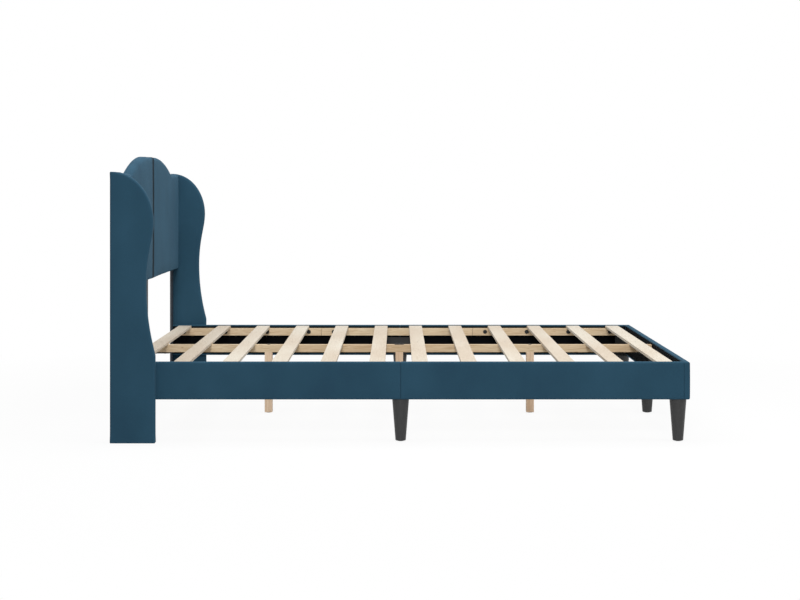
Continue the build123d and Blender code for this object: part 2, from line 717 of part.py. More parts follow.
# Tapered legs, and the steel angles that join legs and corners to the rails
tapered_legs = {
    "leg_left_middle": (0, -leg_y),
    "leg_right_middle": (0, leg_y),
    "leg_left_foot": (leg_foot_x, -leg_y),
    "leg_right_foot": (leg_foot_x, leg_y),
    "leg_foot_centre": (leg_foot_x, 0),
}
leg_bolt_seats = seats_on(Plane.XY.offset(rail_bottom + bracket_thickness), tapered_legs.values())
bracket_places = [
    (side_face(side), middle) for side in sides.values() for middle in (0, side * leg_bracket_foot_x)
]
bracket_places.append((foot_face(), 0))
with BuildPart() as rail_brackets:
    for plane, middle in bracket_places:
        with BuildSketch(plane):
            with Locations((middle, rail_bottom + leg_bracket_height / 2)):
                Rectangle(leg_bracket_length, leg_bracket_height)
        extrude(amount=bracket_thickness)
        with BuildSketch(plane):
            with Locations((middle, rail_bottom + bracket_thickness / 2)):
                Rectangle(leg_bracket_length, bracket_thickness)
        extrude(amount=leg_bracket_depth)
    for side in sides.values():
        with BuildSketch(Plane.XY.offset(rail_bottom + corner_bracket_lift)):
            with BuildLine():
                Polyline(
                    (foot_inner_x, side * rail_inner_y),
                    (foot_inner_x - corner_bracket_arm, side * rail_inner_y),
                    (foot_inner_x - corner_bracket_arm, side * (rail_inner_y - bracket_thickness)),
                    (foot_inner_x - bracket_thickness, side * (rail_inner_y - bracket_thickness)),
                    (foot_inner_x - bracket_thickness, side * (rail_inner_y - corner_bracket_arm)),
                    (foot_inner_x, side * (rail_inner_y - corner_bracket_arm)),
                    close=True,
                )
            make_face()
        extrude(amount=corner_bracket_height)
    bore(leg_bolt_seats, leg_bolt_radius, bracket_thickness)
    for side_name in sides:
        bore(seats["leg", side_name] + seats["corner", side_name], bolt_radius, bracket_thickness)
    bore(seats["foot"], bolt_radius, bracket_thickness)
rail_brackets.part.label = "rail_brackets"
export_step(rail_brackets.part, "parts/rail_brackets.step")

for leg_name, (leg_x, leg_middle_y) in tapered_legs.items():
    with BuildPart() as tapered_leg:
        with BuildSketch(Plane.XY.offset(glide_height)):
            with Locations((leg_x, leg_middle_y)):
                Circle(leg_bottom_radius)
        with BuildSketch(Plane.XY.offset(rail_bottom)):
            with Locations((leg_x, leg_middle_y)):
                Circle(leg_top_radius)
        loft()
        fillet(tapered_leg.edges().sort_by(Axis.Z)[0], leg_bottom_edge)
        bore(leg_bolt_seats, leg_bolt_radius, leg_bolt_depth + bolt_clearance)
    tapered_leg.part.label = leg_name
    export_step(tapered_leg.part, f"parts/{leg_name}.step")

with BuildPart() as leg_glides:
    with BuildSketch():
        with Locations(*tapered_legs.values(), *[(x, 0) for x in centre_leg_xs]):
            Circle(glide_radius)
    extrude(amount=glide_height)
leg_glides.part.label = "leg_glides"
export_step(leg_glides.part, "parts/leg_glides.step")

# Bolts of the rails and of the tapered legs
with BuildPart() as rail_bolts:
    for side_name in sides:
        add(bolts(seats["joint", side_name] + seats["leg", side_name] + seats["corner", side_name],
                  bolt_radius, rail_bolt_reach))
        add(bolts(seats["wing", side_name], bolt_radius, wing_bolt_reach))
    add(bolts(seats["foot"] + seats["foot_hanger"], bolt_radius, rail_bolt_reach))
    add(bolts(seats["head_hanger"], bolt_radius, hanger_bolt_reach))
    add(bolts(leg_bolt_seats, leg_bolt_radius, leg_bolt_depth, leg_bolt_head_radius, leg_bolt_head_height))
rail_bolts.part.label = "rail_bolts"
export_step(rail_bolts.part, "parts/rail_bolts.step")
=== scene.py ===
import json
import math

import bmesh
import bpy
import numpy as np
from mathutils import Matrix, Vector, noise
from mathutils.geometry import delaunay_2d_cdt


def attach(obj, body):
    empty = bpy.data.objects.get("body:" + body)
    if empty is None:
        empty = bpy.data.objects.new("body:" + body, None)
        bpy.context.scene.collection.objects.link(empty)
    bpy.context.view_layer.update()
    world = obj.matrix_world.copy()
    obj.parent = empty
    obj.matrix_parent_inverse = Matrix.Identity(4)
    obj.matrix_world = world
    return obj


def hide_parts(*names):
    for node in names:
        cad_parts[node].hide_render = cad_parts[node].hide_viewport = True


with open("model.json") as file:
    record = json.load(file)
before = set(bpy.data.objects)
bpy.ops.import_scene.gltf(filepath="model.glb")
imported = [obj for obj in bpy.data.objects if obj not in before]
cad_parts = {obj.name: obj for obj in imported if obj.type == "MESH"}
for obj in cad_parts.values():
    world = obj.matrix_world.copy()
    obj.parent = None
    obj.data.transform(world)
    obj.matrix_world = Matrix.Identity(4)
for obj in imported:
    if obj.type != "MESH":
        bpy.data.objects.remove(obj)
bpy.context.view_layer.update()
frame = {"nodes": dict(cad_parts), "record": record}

MM = 0.001
record_slots = {row["node"]: row["material_slot"] for row in frame["record"]["subparts"]}


# Small tools

def linear(hex_colour):
    """An sRGB hex colour as linear red, green, blue and alpha."""
    channels = [int(hex_colour[i:i + 2], 16) / 255 for i in (1, 3, 5)]
    return [c / 12.92 if c <= 0.04045 else ((c + 0.055) / 1.055) ** 2.4 for c in channels] + [1.0]


def node(tree, kind, sockets=None, **settings):
    """Adds a node with its settings, and fills or links its inputs."""
    made = tree.nodes.new(kind)
    for name, value in settings.items():
        setattr(made, name, value)
    for name, value in (sockets or {}).items():
        if isinstance(value, bpy.types.NodeSocket):
            tree.links.new(value, made.inputs[name])
        else:
            made.inputs[name].default_value = value
    return made


def unit(vectors):
    return vectors / np.maximum(np.linalg.norm(vectors, axis=-1, keepdims=True), 1e-12)


def ripple(points, size, seed):
    """Smooth noise from -1 to 1 at 2-D points in millimetres, with bumps about as wide as the size."""
    return np.array([noise.noise(Vector((u / size, v / size, seed))) for u, v in points])


# Materials

def new_material(name):
    made = bpy.data.materials.new(name)
    made.use_nodes = True
    made.node_tree.nodes.clear()
    place = node(made.node_tree, "ShaderNodeTexCoord").outputs["Object"]
    return made, made.node_tree, place


def close_material(tree, height, bump_distance, bump_strength, **sockets):
    """Bump, Principled shader and output."""
    bump = node(tree, "ShaderNodeBump",
                {"Height": height, "Distance": bump_distance, "Strength": bump_strength})
    inputs = {name.replace("_", " ").title().replace("Ior", "IOR"): value for name, value in sockets.items()}
    shader = node(tree, "ShaderNodeBsdfPrincipled", {**inputs, "Normal": bump.outputs["Normal"]})
    node(tree, "ShaderNodeOutputMaterial", {"Surface": shader.outputs["BSDF"]})


def ramp(tree, factor, stops):
    """Colour ramp from (place, hex) stops."""
    made = node(tree, "ShaderNodeValToRGB", {"Fac": factor})
    keys = made.color_ramp.elements
    while len(keys) < len(stops):
        keys.new(0.5)
    for key, (place, hex_colour) in zip(keys, stops):
        key.position, key.color = place, linear(hex_colour)
    return made.outputs["Color"]


def blotches(tree, place, size_mm, detail=3.0, roughness=0.5, stretch=(1, 1, 1)):
    """Noise whose features are about that many millimetres across, longer where the stretch is below 1."""
    mapped = node(tree, "ShaderNodeMapping", {"Vector": place, "Scale": stretch})
    made = node(tree, "ShaderNodeTexNoise", {"Vector": mapped.outputs["Vector"], "Scale": 1 / (size_mm * MM),
                                             "Detail": detail, "Roughness": roughness})
    return made.outputs["Fac"]


def mix_colours(tree, factor, first, second, blend_type="MIX"):
    made = node(tree, "ShaderNodeMix", {0: factor, 6: first, 7: second},
                data_type="RGBA", blend_type=blend_type)
    return made.outputs[2]


def velvet_material(name, seam=False):
    """Short-pile polyester velvet: matt to look into, with a pale bloom at grazing angles.
    The pile is brushed by hand, so soft darker and lighter patches lie along it.
    With a seam, painted shade darkens the colour and takes away the sheen on both sides of the plane Y = 0,
    for the groove between the two halves."""
    made, tree, place = new_material(name)
    patches = blotches(tree, place, 170, 2.0, 0.5, (1.0, 1.0, 0.6))
    brushed = ramp(tree, patches, [(0.32, "#284B60"), (0.5, "#2B5065"), (0.7, "#2F556B")])
    # Real pile is about 0.3 mm; it is drawn four times as coarse so that it shows
    pile = blotches(tree, place, 1.2, 2.0, 0.6)
    tufts = ramp(tree, pile, [(0.3, "#D8D8D8"), (0.7, "#FFFFFF")])
    colour = mix_colours(tree, 1.0, brushed, tufts, "MULTIPLY")
    bloom = 0.1
    if seam:
        # Painted shade for the seam's groove: nearly full within 12 mm of Y = 0 and gone by 28 mm; raised is
        # the share of the velvet's own colour and sheen that is kept
        painted_seam_shade_core, painted_seam_shade_edge, own_colour_in_painted_seam_shade = 12 * MM, 28 * MM, 0.05
        parts = node(tree, "ShaderNodeSeparateXYZ", {0: place}).outputs
        across = node(tree, "ShaderNodeMath", {0: parts["Y"]}, operation="ABSOLUTE").outputs[0]
        raised = node(tree, "ShaderNodeMapRange",
                      {"Value": across, "From Min": painted_seam_shade_core, "From Max": painted_seam_shade_edge,
                       "To Min": own_colour_in_painted_seam_shade, "To Max": 1.0},
                      interpolation_type="SMOOTHSTEP").outputs[0]
        # The near-black #0A141A is the colour of the painted shade
        colour = mix_colours(tree, raised, linear("#0A141A"), colour)
        bloom = node(tree, "ShaderNodeMath", {0: raised, 1: bloom}, operation="MULTIPLY").outputs[0]
    close_material(tree, pile, bump_distance=0.0006, bump_strength=0.35, base_color=colour, roughness=0.92,
                   specular_ior_level=0.2, sheen_weight=bloom, sheen_roughness=0.36,
                   sheen_tint=linear("#90C8EE"))
    return made


def lining_material():
    """Spun-bonded polypropylene, matt black, with the small embossed points of the sheet."""
    made, tree, place = new_material("black_spunbond_lining")
    points = node(tree, "ShaderNodeTexVoronoi",
                  {"Vector": place, "Scale": 1 / (3.0 * MM), "Randomness": 0.25})
    fibres = blotches(tree, place, 2.5, 4.0, 0.7)
    colour = ramp(tree, fibres, [(0.25, "#08090A"), (0.75, "#121316")])
    close_material(tree, points.outputs["Distance"], bump_distance=0.0004, bump_strength=0.5,
                   base_color=colour, roughness=0.95, specular_ior_level=0.03)
    return made


def pine_material(name, grain, pale, mid, late, ring_mm=5.0):
    """Planed softwood: pale early wood between thin darker rings, drawn out along the grain, with fibres.
    The grain is 0, 1 or 2 for a board that runs along X, Y or Z."""
    made, tree, place = new_material(name)
    along = [1.0, 1.0, 1.0]
    along[grain] = 0.035
    rings = blotches(tree, place, ring_mm, 2.0, 0.45, along)
    bands = node(tree, "ShaderNodeMath", {0: rings, 1: 5.5}, operation="MULTIPLY").outputs[0]
    bands = node(tree, "ShaderNodeMath", {0: bands}, operation="FRACT").outputs[0]
    wood = ramp(tree, bands, [(0.0, pale), (0.55, mid), (0.9, late), (1.0, pale)])
    along[grain] = 0.02
    fibres = blotches(tree, place, 0.9, 3.0, 0.6, along)
    streaks = ramp(tree, fibres, [(0.3, "#E9E4DC"), (0.7, "#FFFFFF")])
    along[grain] = 0.3
    tone = ramp(tree, blotches(tree, place, 210, 1.0, 0.4, along), [(0.35, "#EFE7E0"), (0.65, "#FFFFFF")])
    colour = mix_colours(tree, 1.0, mix_colours(tree, 1.0, wood, streaks, "MULTIPLY"), tone, "MULTIPLY")
    # Pin knots, a few on each board and up to 5 mm across
    along[grain] = 0.5
    spread = node(tree, "ShaderNodeMapping", {"Vector": place, "Scale": along})
    cells = node(tree, "ShaderNodeTexVoronoi", {"Vector": spread.outputs["Vector"], "Scale": 1 / (70 * MM)})
    knots = ramp(tree, cells.outputs["Distance"], [(0.0, "#A98F75"), (0.03, "#CDBBA6"), (0.06, "#FFFFFF")])
    colour = mix_colours(tree, 1.0, colour, knots, "MULTIPLY")
    close_material(tree, fibres, bump_distance=0.0002, bump_strength=0.25,
                   base_color=colour, roughness=0.62)
    return made


def plywood_material():
    """Raw birch plywood: long pale figure with a matt, slightly open surface."""
    made, tree, place = new_material("raw_birch_plywood")
    figure = blotches(tree, place, 14, 4.0, 0.55, (0.1, 0.1, 1.0))
    colour = ramp(tree, figure, [(0.3, "#A98A62"), (0.55, "#BFA078"), (0.75, "#CBB08A")])
    close_material(tree, figure, bump_distance=0.0003, bump_strength=0.3,
                   base_color=colour, roughness=0.7)
    return made


def painted_board_material():
    """Board sprayed with matt blue-black paint: a faint orange-peel and slightly rubbed tone."""
    made, tree, place = new_material("matt_blue_black_paint")
    rubbed = blotches(tree, place, 45, 4.0, 0.55, (1, 1, 0.4))
    colour = ramp(tree, rubbed, [(0.3, "#121B24"), (0.7, "#18232E")])
    close_material(tree, blotches(tree, place, 1.8, 2.0, 0.5), bump_distance=0.0002, bump_strength=0.3,
                   base_color=colour, roughness=0.6)
    return made


def stained_leg_material():
    """Turned hardwood with black stain and satin lacquer: fine paler streaks run down the leg."""
    made, tree, place = new_material("black_stained_turned_wood")
    streaks = blotches(tree, place, 2.2, 4.0, 0.65, (1, 1, 0.03))
    colour = ramp(tree, streaks, [(0.3, "#1E1E1E"), (0.55, "#272727"), (0.75, "#343333")])
    close_material(tree, streaks, bump_distance=0.0003, bump_strength=0.3,
                   base_color=colour, roughness=0.5)
    return made


def powder_coat_material():
    """Steel with black powder coat: fine texture and a low sheen."""
    made, tree, place = new_material("black_powder_coated_steel")
    grain = blotches(tree, place, 0.8, 3.0, 0.6)
    colour = ramp(tree, grain, [(0.3, "#0C0D0D"), (0.7, "#151616")])
    close_material(tree, grain, bump_distance=0.0002, bump_strength=0.4,
                   base_color=colour, roughness=0.6)
    return made


def glide_material():
    """Injection-moulded black polyethylene, lightly scuffed underneath."""
    made, tree, place = new_material("moulded_black_polyethylene")
    scuffs = blotches(tree, place, 4.0, 5.0, 0.7)
    colour = ramp(tree, scuffs, [(0.35, "#151515"), (0.8, "#2A2A2A")])
    close_material(tree, scuffs, bump_distance=0.0002, bump_strength=0.3,
                   base_color=colour, roughness=0.55)
    return made


velvet = velvet_material("short_pile_velvet")
seam_shade_painted_velvet = velvet_material("short_pile_velvet_with_painted_seam_shade", True)
lining = lining_material()
slat_pine = pine_material("pale_planed_pine", 1, "#EAE4D8", "#E2DBCD", "#D6CCBB")
rail_pine = pine_material("warm_planed_pine", 0, "#EDD9BA", "#E4CEAB", "#D0B48F", 6.0)
leg_pine = pine_material("upright_planed_pine", 2, "#F7E2CA", "#F3D9BD", "#E0C2A4", 6.0)
by_slot = {
    "velvet": velvet,
    "black_lining": lining,
    "pine": slat_pine,
    "panel_board": plywood_material(),
    "dark_leg_board": painted_board_material(),
    "black_wood": stained_leg_material(),
    "black_steel": powder_coat_material(),
    "black_glide": glide_material(),
}

for name, cad_node in frame["nodes"].items():
    finish = by_slot[record_slots[name]]
    if name.startswith(("ledger_left", "ledger_right", "centre_rail_head", "centre_rail_foot")):
        finish = rail_pine
    if name.startswith("centre_leg"):
        finish = leg_pine
    for holder in cad_node.material_slots:
        holder.material = finish


# Flat outlines in millimetres

def rounded_path(corners, step):
    """Closed anticlockwise outline through (u, v, radius) corners, with no run longer than the step."""
    path = []
    for before, here, after in zip(corners[-1:] + corners[:-1], corners, corners[1:] + corners[:1]):
        point, radius = np.array(here[:2], float), here[2]
        if not radius:
            path.append(point)
            continue
        into, out = unit(point - before[:2]), unit(np.array(after[:2]) - point)
        turn = math.atan2(into[0] * out[1] - into[1] * out[0], into @ out)
        start = point - into * radius * math.tan(abs(turn) / 2)
        side = np.array([-into[1], into[0]]) * math.copysign(1, turn)
        parts = max(2, round(abs(turn) / math.radians(11)))
        for angle in np.linspace(0, abs(turn), parts + 1):
            path.append(start + into * radius * math.sin(angle) + side * radius * (1 - math.cos(angle)))
    filled = []
    for here, after in zip(path, path[1:] + path[:1]):
        parts = math.ceil(np.linalg.norm(after - here) / step)
        filled += [here + (after - here) * i / parts for i in range(parts)]
    return np.array(filled)


def outward(path):
    """Unit normals of a closed anticlockwise outline."""
    ahead = unit(np.roll(path, -1, 0) - path)
    along = unit(ahead + np.roll(ahead, 1, 0))
    return np.column_stack([along[:, 1], -along[:, 0]])


def gap_to(path, points):
    """Distance from each point to the outline, and whether the point lies inside it."""
    gap = np.full(len(points), np.inf)
    inside = np.zeros(len(points), bool)
    for start, end in zip(path, np.roll(path, -1, 0)):
        along = end - start
        share = np.clip((points - start) @ along / (along @ along), 0, 1)
        gap = np.minimum(gap, np.linalg.norm(points - start - share[:, None] * along, axis=1))
        crosses = (start[1] > points[:, 1]) != (end[1] > points[:, 1])
        if crosses.any():
            inside ^= crosses & (points[:, 0] < start[0] + (points[:, 1] - start[1]) * along[0] / along[1])
    return gap, inside


def fill(ring, spacing):
    """Points and triangles that fill a closed ring, on a staggered grid inside it."""
    ring = ring[np.linalg.norm(ring - np.roll(ring, 1, 0), axis=1) > 0.01]
    low, high = ring.min(0), ring.max(0)
    rows = np.arange(low[1], high[1], spacing * 0.87)
    points = np.array([(u + spacing / 2 * (i % 2), v) for i, v in enumerate(rows)
                       for u in np.arange(low[0], high[0], spacing)])
    gap, inside = gap_to(ring, points)
    points = np.vstack([ring, points[inside & (gap > spacing * 0.5)]])
    filled = delaunay_2d_cdt([Vector(p) for p in points], [], [list(range(len(ring)))], 1, 1e-5)
    return np.array([v[:] for v in filled[0]]), filled[2]


# Closed skins of the padded pieces. A ring is (flat points, depth), with one depth or one for each point

def roll(path, radii, face_depth, rising):
    """Rings of a quarter round between an outline's wall and a face above it, or below it if not rising."""
    normals = outward(path)
    level = face_depth(path - normals * radii[:, None])
    rings = []
    for angle in np.radians([0, 12, 25, 38, 52, 66, 79, 90]):
        drop = radii * (1 - math.sin(angle))
        rings.append((path - normals * (radii * (1 - math.cos(angle)))[:, None],
                      level - drop if rising else level + drop))
    return rings if rising else rings[::-1]


def skin(name, rings, first, last, place):
    """Closed mesh through rings of one count, with a filled face on the first ring and one on the last.
    Each face is (depth function, spacing), and place turns (u, v, depth) into the frame's x, y, z."""
    count = len(rings[0][0])
    points, faces = [], []
    for flat, depth in rings:
        start = len(points)
        points += [(u, v, d) for (u, v), d in zip(flat, np.broadcast_to(depth, count))]
        if start:
            faces += [(start - count + i, start - count + (i + 1) % count, start + (i + 1) % count, start + i)
                      for i in range(count)]
    for (flat, _), (face_depth, spacing) in ((rings[0], first), (rings[-1], last)):
        start = len(points)
        filled, triangles = fill(flat, spacing)
        points += [(u, v, d) for (u, v), d in zip(filled, face_depth(filled))]
        faces += [tuple(start + i for i in triangle) for triangle in triangles]
    mesh = bpy.data.meshes.new(name)
    mesh.from_pydata([Vector(place(*point)) * MM for point in points], [], faces)
    work = bmesh.new()
    work.from_mesh(mesh)
    bmesh.ops.remove_doubles(work, verts=work.verts, dist=0.02 * MM)
    bmesh.ops.dissolve_degenerate(work, edges=work.edges, dist=0.005 * MM)
    bmesh.ops.recalc_face_normals(work, faces=work.faces)
    work.to_mesh(mesh)
    work.free()
    mesh.shade_smooth()
    return mesh


# Spacing in millimetres that is wide enough to add no points to a plain face or outline
PLAIN = 400


def flat_at(level):
    return lambda points: np.full(len(points), float(level))


def slab(name, path, low, high, place):
    """A plate with square edges, used as a cutter."""
    return skin(name, [(path, low), (path, high)], (flat_at(low), PLAIN), (flat_at(high), PLAIN), place)


def cloth(name, path, level, seed, place):
    """A thin sheet that lies along the outline's plane and is slightly uneven."""
    thickness, unevenness, wave, spacing = 0.6, 0.08, 45, 14

    def low(points):
        return level + unevenness * (1 + ripple(points, wave, seed))

    def high(points):
        return low(points) + thickness

    return skin(name, [(path, low(path)), (path, high(path))], (low, spacing), (high, spacing), place)


def add_piece(name, mesh, material):
    piece = bpy.data.objects.new(name, mesh)
    bpy.context.scene.collection.objects.link(piece)
    mesh.materials.clear()
    mesh.materials.append(material)
    return piece


def baked(piece):
    """The piece's mesh with its modifiers applied."""
    graph = bpy.context.evaluated_depsgraph_get()
    return bpy.data.meshes.new_from_object(piece.evaluated_get(graph))


def cut(piece, cutters):
    """Takes closed meshes out of a piece."""
    for mesh in cutters:
        cutter = bpy.data.objects.new("cutter", mesh)
        bpy.context.scene.collection.objects.link(cutter)
        change = piece.modifiers.new("cut", "BOOLEAN")
        change.object, change.operation, change.solver = cutter, "DIFFERENCE", "EXACT"
        result = baked(piece)
        piece.modifiers.clear()
        piece.data = result
        bpy.data.objects.remove(cutter)


def rectangle(low_u, low_v, high_u, high_v, radius=0):
    return [(low_u, low_v, radius), (high_u, low_v, radius),
            (high_u, high_v, radius), (low_u, high_v, radius)]


def circle(middle, radius):
    angles = np.radians(np.arange(0, 360, 22.5))
    return np.column_stack([middle[0] + radius * np.cos(angles), middle[1] + radius * np.sin(angles)])


def dress(piece, nodes):
    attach(piece, "root")
    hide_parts(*nodes)


# Staples of the linings, by Geometry Nodes

def staple_tree():
    """Bent wire staples along the edges of a flat mesh, one every pitch, standing on its plane."""
    tree = bpy.data.node_groups.new("staple_row", "GeometryNodeTree")
    interface = tree.interface
    interface.new_socket("Path", in_out="INPUT", socket_type="NodeSocketGeometry")
    inputs = {name: interface.new_socket(name, in_out="INPUT", socket_type="NodeSocketFloat").identifier
              for name in ("Pitch", "Crown", "Wire")}
    finish = interface.new_socket("Finish", in_out="INPUT", socket_type="NodeSocketMaterial")
    inputs["Finish"] = finish.identifier
    interface.new_socket("Staples", in_out="OUTPUT", socket_type="NodeSocketGeometry")
    given = node(tree, "NodeGroupInput").outputs
    row = node(tree, "GeometryNodeMeshToCurve", {"Mesh": given["Path"]})
    places = node(tree, "GeometryNodeCurveToPoints", {"Curve": row.outputs[0], "Length": given["Pitch"]},
                  mode="LENGTH")
    turned = node(tree, "FunctionNodeAlignRotationToVector", {"Vector": places.outputs["Tangent"]}, axis="X")
    half = node(tree, "ShaderNodeMath", {0: given["Crown"], 1: 0.5}, operation="MULTIPLY").outputs[0]
    back = node(tree, "ShaderNodeMath", {0: given["Crown"], 1: -0.5}, operation="MULTIPLY").outputs[0]
    down = node(tree, "ShaderNodeMath", {0: given["Wire"], 1: -1.5}, operation="MULTIPLY").outputs[0]
    corners = [node(tree, "ShaderNodeCombineXYZ", {"X": x, "Z": z}).outputs[0]
               for x, z in ((back, down), (back, given["Wire"]), (half, given["Wire"]), (half, down))]
    bend = node(tree, "GeometryNodeCurvePrimitiveBezierSegment",
                dict(zip(("Start", "Start Handle", "End Handle", "End"), corners), Resolution=7))
    section = node(tree, "GeometryNodeCurvePrimitiveCircle", {"Resolution": 6, "Radius": given["Wire"]})
    staple = node(tree, "GeometryNodeCurveToMesh", {"Curve": bend.outputs[0], "Fill Caps": True,
                                                    "Profile Curve": section.outputs[0]})
    copies = node(tree, "GeometryNodeInstanceOnPoints", {"Points": places.outputs["Points"],
                                                         "Instance": staple.outputs[0],
                                                         "Rotation": turned.outputs[0]})
    real = node(tree, "GeometryNodeRealizeInstances", {"Geometry": copies.outputs[0]})
    finished = node(tree, "GeometryNodeSetMaterial",
                    {"Geometry": real.outputs[0], "Material": given["Finish"]})
    node(tree, "NodeGroupOutput", {"Staples": finished.outputs[0]})
    return tree, inputs


staple_rows, staple_inputs = staple_tree()


def staples(name, path, clear, level, place, lined_node):
    """Staples along the clear stretches of an outline, on a sheet that lies at the level."""
    edges = [(i, (i + 1) % len(path)) for i in range(len(path)) if clear[i] and clear[(i + 1) % len(path)]]
    mesh = bpy.data.meshes.new("row")
    mesh.from_pydata([(u * MM, v * MM, 0) for u, v in path], edges, [])
    piece = bpy.data.objects.new(name, mesh)
    bpy.context.scene.collection.objects.link(piece)
    copies = piece.modifiers.new("staples", "NODES")
    copies.node_group = staple_rows
    sizes = {"Pitch": 55 * MM, "Crown": 10 * MM, "Wire": 0.35 * MM, "Finish": by_slot["black_steel"]}
    for socket, value in sizes.items():
        copies[staple_inputs[socket]] = value
    result = baked(piece)
    piece.modifiers.clear()
    piece.data = result
    flat = np.array([v.co for v in result.vertices]) / MM
    result.vertices.foreach_set("co", np.ravel([place(u, v, level - z) for u, v, z in flat]) * MM)
    result.flip_normals()
    result.shade_smooth()
    dress(piece, [lined_node])


# Sizes of the padded pieces, in millimetres, where the CAD has them

SOFT_GAP = 0.3
BACK_X, WING_INNER_Y, WING_THICKNESS, WING_PADDING = -1054.0, 797.0, 28.0, 6.0
WING_TOP, WING_TOP_FLAT = 984.0, 8.0
FOOT_DEPTH, WAIST_DEPTH, BULGE_DEPTH = 164.0, 130.8, 157.4
RAMP_Z, WAIST_Z, BULGE_Z = 318.0, 565.0, 800.0
WAIST_EASE, BULGE_EASE, RAMP_RADIUS = 120.0, 60.0, 45.0
BOLT_HOLE_RADIUS, SCREW_HOLE_RADIUS = 3.2, 2.2
RAIL_OUTER_Y, RAIL_INNER_Y = 796.7, 774.7
RAIL_LOW, RAIL_HEIGHT, RAIL_THICKNESS, RAIL_LIP = 155.0, 137.0, 22.0, 6.0
RAIL_RETURN, RAIL_BOARD_FACE, RAIL_EDGE_WALL = 1.5, 17.0, 3.0
SIDE_END_WALL, SIDE_END_RADIUS, FOOT_END_WALL, FOOT_END_RADIUS = 1.5, 3.0, 5.0, 6.0
FOOT_INNER_X, LEG_FRONT_X = 1032.0, -1040.0
PAD_FRONT_X, BOARD_FRONT_X, BOARD_BACK_X, LINING_BACK_X = -1011.5, -1034.0, -1049.0, -1050.0
PAD_LOW, SHOULDER, CREST = 550.0, 983.0, 1049.0
NOTCH, NOTCH_RADIUS, CREST_HALF = (560.0, 978.0), 14.0, 110.0
LEG_TOP, LEG_HALF, SIDE_LEG_Y = 700.3, 19.3, 778.0
WING_BOLTS = [(-1010.0, 185.0), (-950.0, 185.0)]
WING_SCREWS = [(-1045.0, 342.0), (-1045.0, 498.0)]

# Spacing of the mesh points in millimetres, along an outline and across a face
WING_STEP, WING_SPACING = 9, 13
PAD_STEP, PAD_SPACING = 9, 10
RAIL_STEP, RAIL_SPACING = 13, 13


def eased(share):
    """A share from 0 to 1 with a soft start and end."""
    return share ** 2 * (3 - 2 * share)


# Wings

def wing_corners(inset, bottom, foot_radius):
    """Side view of a wing, with u along X and v up: a straight foot, a hollow waist and a round head."""
    foot, waist, bulge = (BACK_X + depth - inset for depth in (FOOT_DEPTH, WAIST_DEPTH, BULGE_DEPTH))
    flat_end, top = BACK_X + WING_TOP_FLAT, WING_TOP - inset
    hollow = ((foot - waist) ** 2 + (WAIST_Z - RAMP_Z) ** 2) / (2 * (foot - waist))
    corners = [(BACK_X + inset, bottom, foot_radius), (foot, bottom, foot_radius),
               (foot, RAMP_Z, RAMP_RADIUS)]
    clear_of_ramp = 22
    for height in np.linspace(RAMP_Z + clear_of_ramp, WAIST_Z, 12):
        corners.append((waist + hollow - math.sqrt(hollow ** 2 - (WAIST_Z - height) ** 2), height, 0))
    ease = [np.array(p) for p in ((waist, WAIST_Z), (waist, WAIST_Z + WAIST_EASE),
                                  (bulge, BULGE_Z - BULGE_EASE), (bulge, BULGE_Z))]
    for t in np.linspace(0, 1, 19)[1:]:
        weights = ((1 - t) ** 3, 3 * t * (1 - t) ** 2, 3 * t * t * (1 - t), t ** 3)
        corners.append((*sum(weight * p for weight, p in zip(weights, ease)), 0))
    for angle in np.linspace(0, math.pi / 2, 28)[1:]:
        corners.append((flat_end + (bulge - flat_end) * math.cos(angle),
                        BULGE_Z + (top - BULGE_Z) * math.sin(angle), 0))
    back_radius, least_radius = 4.0, 1.5
    corners.append((BACK_X + inset, top, max(back_radius - inset, least_radius)))
    return corners


def wing_cover(side_name, side):
    foot_radius = 3
    path = rounded_path(wing_corners(0, 0, foot_radius), WING_STEP)
    # The rims are tighter at the foot and at the back's top corner than elsewhere
    foot_rim, foot_gain, foot_start, foot_reach = 2.4, 5.8, 6, 30
    corner_rim, corner_gain, corner_start, corner_reach = 3.3, 4.9, 4, 26
    above_foot = np.clip((path[:, 1] - foot_start) / foot_reach, 0, 1)
    to_corner = np.hypot(path[:, 0] - BACK_X, path[:, 1] - WING_TOP)
    from_corner = np.clip((to_corner - corner_start) / corner_reach, 0, 1)
    radii = np.minimum(foot_rim + foot_gain * eased(above_foot), corner_rim + corner_gain * from_corner)

    foot_band, swell_reach, unevenness, wave = 60, 28, 0.22, 130
    inner_slack, inner_swell, outer_slack, outer_swell = 0.25, 0.3, 1.0, 1.0

    def swell(points, most, seed):
        above = np.clip(points[:, 1] / foot_band, 0, 1)
        raised = most * (1 - np.exp(-gap_to(path, points)[0] / swell_reach))
        return above * (raised + unevenness * ripple(points, wave, seed))

    def inner(points):
        return inner_slack - np.clip(swell(points, inner_swell, 3.1 + side), 0, inner_slack)

    def outer(points):
        return WING_THICKNESS - outer_slack + swell(points, outer_swell, 9.7 + side)

    def place(u, v, depth):
        return u, side * (WING_INNER_Y + depth), v

    rings = roll(path, radii, inner, False) + roll(path, radii, outer, True)
    mesh = skin("wing", rings, (inner, WING_SPACING), (outer, WING_SPACING), place)
    piece = add_piece(f"wing_velvet_{side_name}", mesh, velvet)
    below_floor, core_step, hole_from, hole_to = -8, 60, -1, 8
    core = rounded_path(wing_corners(WING_PADDING - SOFT_GAP, below_floor, 0), core_step)
    cutters = [slab("core", core, WING_PADDING, WING_THICKNESS - WING_PADDING, place)]
    cutters += [slab("bolt", circle(middle, BOLT_HOLE_RADIUS), hole_from, hole_to, place)
                for middle in WING_BOLTS]
    cutters += [slab("screw", circle(middle, SCREW_HOLE_RADIUS), hole_from, hole_to, place)
                for middle in WING_SCREWS]
    cut(piece, cutters)
    dress(piece, [f"wing_cover_{side_name}"])


# Headboard

